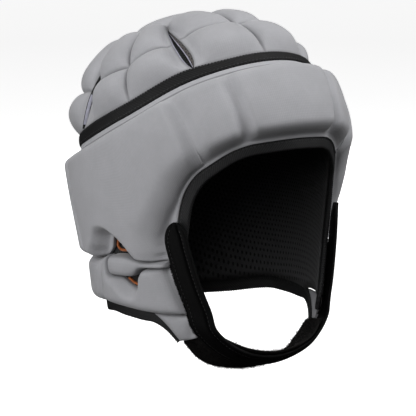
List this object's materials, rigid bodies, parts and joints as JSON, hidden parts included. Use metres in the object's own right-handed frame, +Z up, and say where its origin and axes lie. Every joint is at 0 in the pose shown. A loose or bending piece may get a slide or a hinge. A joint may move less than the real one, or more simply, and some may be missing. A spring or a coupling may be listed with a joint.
{
  "type": "padded headgear",
  "caption": "Close-fitting soft headgear of sewn foam pads with crown vents, a band round the crown, ear openings, bound edges and a hook-and-loop chin strap.",
  "frame": {"origin": "inside top of the crown, where the headgear sits on a head", "axes": "+Z up, the face opening towards -Y, the wearer's right hand towards -X"},
  "size_m": [0.194, 0.2315, 0.2526],
  "materials": {
    "pad_fabric": "matt fine knit over foam",
    "webbing": "ribbed woven elastic tape",
    "strap": "smooth neoprene with bound edges",
    "loop_pile": "brushed loop pile",
    "mesh": "open knitted mesh",
    "piping": "satin corded piping"
  },
  "bodies": {
    "root": {"head_lining": "mesh", "crown_front": "pad_fabric", "crown_side_right": "pad_fabric", "crown_side_left": "pad_fabric", "crown_back": "pad_fabric", "crown_cap": "pad_fabric", "crown_band": "webbing", "forehead_pad": "pad_fabric", "temple_pad_right": "pad_fabric", "temple_pad_left": "pad_fabric", "back_pad": "pad_fabric", "nape_pad": "pad_fabric", "ear_bar_right": "pad_fabric", "ear_bar_left": "pad_fabric", "jaw_pad_right": "pad_fabric", "jaw_pad_left": "pad_fabric", "jaw_tab_right": "pad_fabric", "jaw_tab_left": "pad_fabric", "ear_piping_upper_right": "piping", "ear_piping_upper_left": "piping", "ear_piping_lower_right": "piping", "ear_piping_lower_left": "piping", "face_binding": "webbing", "neck_binding": "webbing", "chin_cup": "loop_pile", "chin_strap": "strap"}
  },
  "joints": []
}
